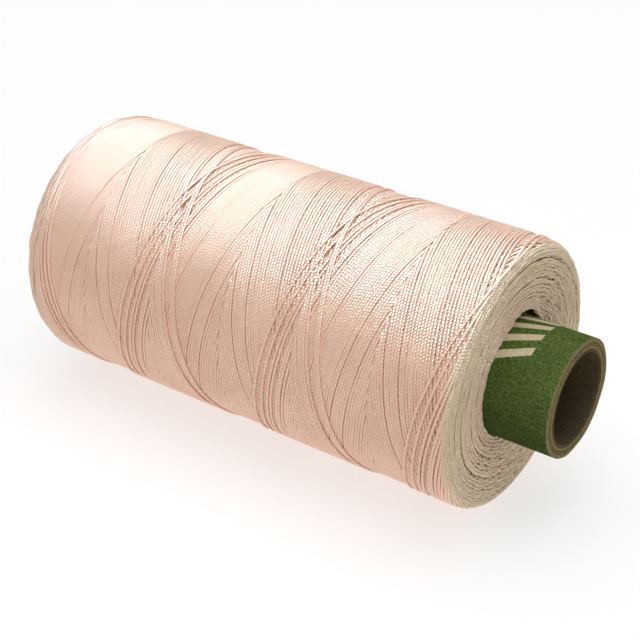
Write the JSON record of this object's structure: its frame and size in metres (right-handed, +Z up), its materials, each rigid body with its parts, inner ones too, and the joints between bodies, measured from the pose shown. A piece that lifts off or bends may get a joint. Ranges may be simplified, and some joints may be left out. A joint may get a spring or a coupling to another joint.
{
  "type": "waxed thread spool",
  "caption": "Cylindrical package of waxed sewing thread cross-wound on a rolled paper tube, whose open ends stand out of the thread so that it slides onto a spindle.",
  "frame": {"origin": "on the tube's axis, half way along the wound thread", "axes": "+X along the tube towards the end that stands further out of the thread, +Z up with the spool lying on its side, +Y to complete a right-handed frame"},
  "size_m": [0.1121, 0.05, 0.05],
  "materials": {
    "waxed_thread": "satin waxed thread, cream",
    "green_paper": "matte printed paper, green",
    "tube_board": "raw grey-brown board edge"
  },
  "bodies": {
    "root": {"tube_liner_ply": "tube_board", "tube_board_ply_1": "tube_board", "tube_board_ply_2": "tube_board", "tube_board_ply_3": "tube_board", "tube_cover_ply": "green_paper", "thread_first_layer": "waxed_thread", "thread_inner_winding": "waxed_thread", "thread_middle_winding": "waxed_thread", "thread_outer_winding": "waxed_thread"}
  },
  "joints": []
}
